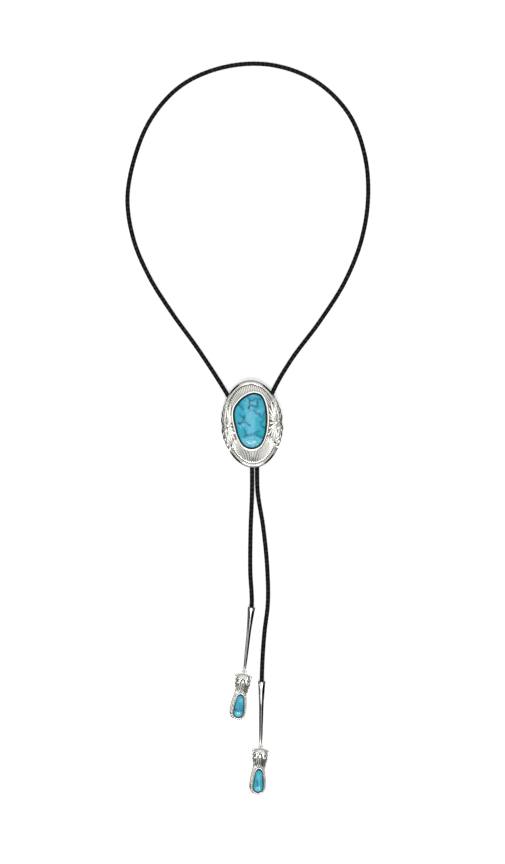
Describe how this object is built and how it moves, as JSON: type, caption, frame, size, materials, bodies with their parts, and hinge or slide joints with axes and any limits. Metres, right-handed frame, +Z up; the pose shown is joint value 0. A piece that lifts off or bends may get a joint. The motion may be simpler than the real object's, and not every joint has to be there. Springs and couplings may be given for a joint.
{
  "type": "bolo tie",
  "caption": "Bolo tie laid flat: a braided leather cord loop drawn through an oval slide with a freeform turquoise cabochon, ending in long cone tips with leaf and pear stone drops.",
  "frame": {"origin": "on the flat back of the slide's clip, under the middle of the oval slide, in the plane the tie lies on", "axes": "+Z up from the surface the tie lies on, towards the stone; +Y up the tie, from the tips to the top of the neck loop; +X to the right seen from above"},
  "size_m": [0.1714, 0.5125, 0.0116],
  "materials": {
    "leather_cord": "black four-strand round braid, semi-gloss",
    "polished_silver": "bright silver-tone casting, polished rims and bezels, fluted and veined fields",
    "turquoise": "polished turquoise cabochon with dark matrix veins",
    "plain_clip": "plain satin sheet metal"
  },
  "bodies": {
    "root": {"cord": "leather_cord", "slide_setting": "polished_silver", "slide_stone": "turquoise", "cord_clip": "plain_clip", "left_tip_cone": "polished_silver", "right_tip_cone": "polished_silver", "left_jump_ring": "polished_silver", "right_jump_ring": "polished_silver", "left_drop_setting": "polished_silver", "right_drop_setting": "polished_silver", "left_drop_stone": "turquoise", "right_drop_stone": "turquoise"}
  },
  "joints": []
}
